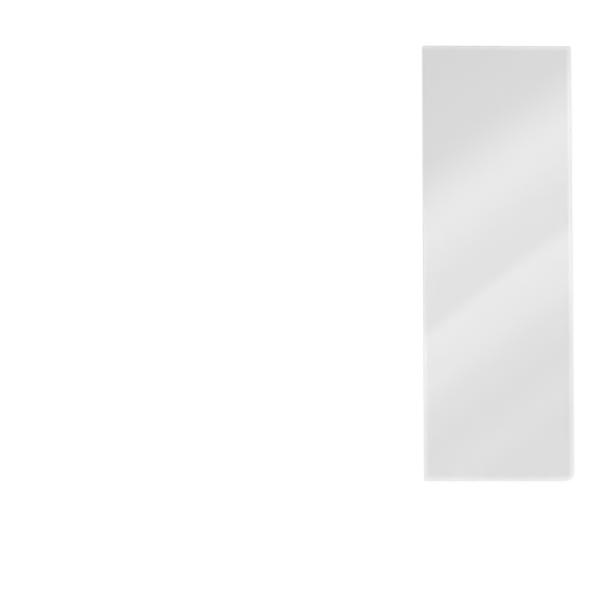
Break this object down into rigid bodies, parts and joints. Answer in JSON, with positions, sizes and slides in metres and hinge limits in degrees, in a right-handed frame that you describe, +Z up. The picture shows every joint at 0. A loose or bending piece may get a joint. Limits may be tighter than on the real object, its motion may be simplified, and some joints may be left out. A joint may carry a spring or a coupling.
{
  "type": "microscope slide",
  "caption": "Thin flat clear glass slip with cut edges and a blunted corner, which carries a specimen on a microscope's stage.",
  "frame": {"origin": "middle of the lower face, which the slide lies on", "axes": "+X across the slide, +Y along it, +Z up through the glass, out of the face that was scored; the blunted corner is at +X -Y"},
  "size_m": [0.026, 0.076, 0.001],
  "materials": {
    "glass": "clear polished sheet glass, with cut edges"
  },
  "bodies": {
    "root": {"glass_slide": "glass"}
  },
  "joints": []
}
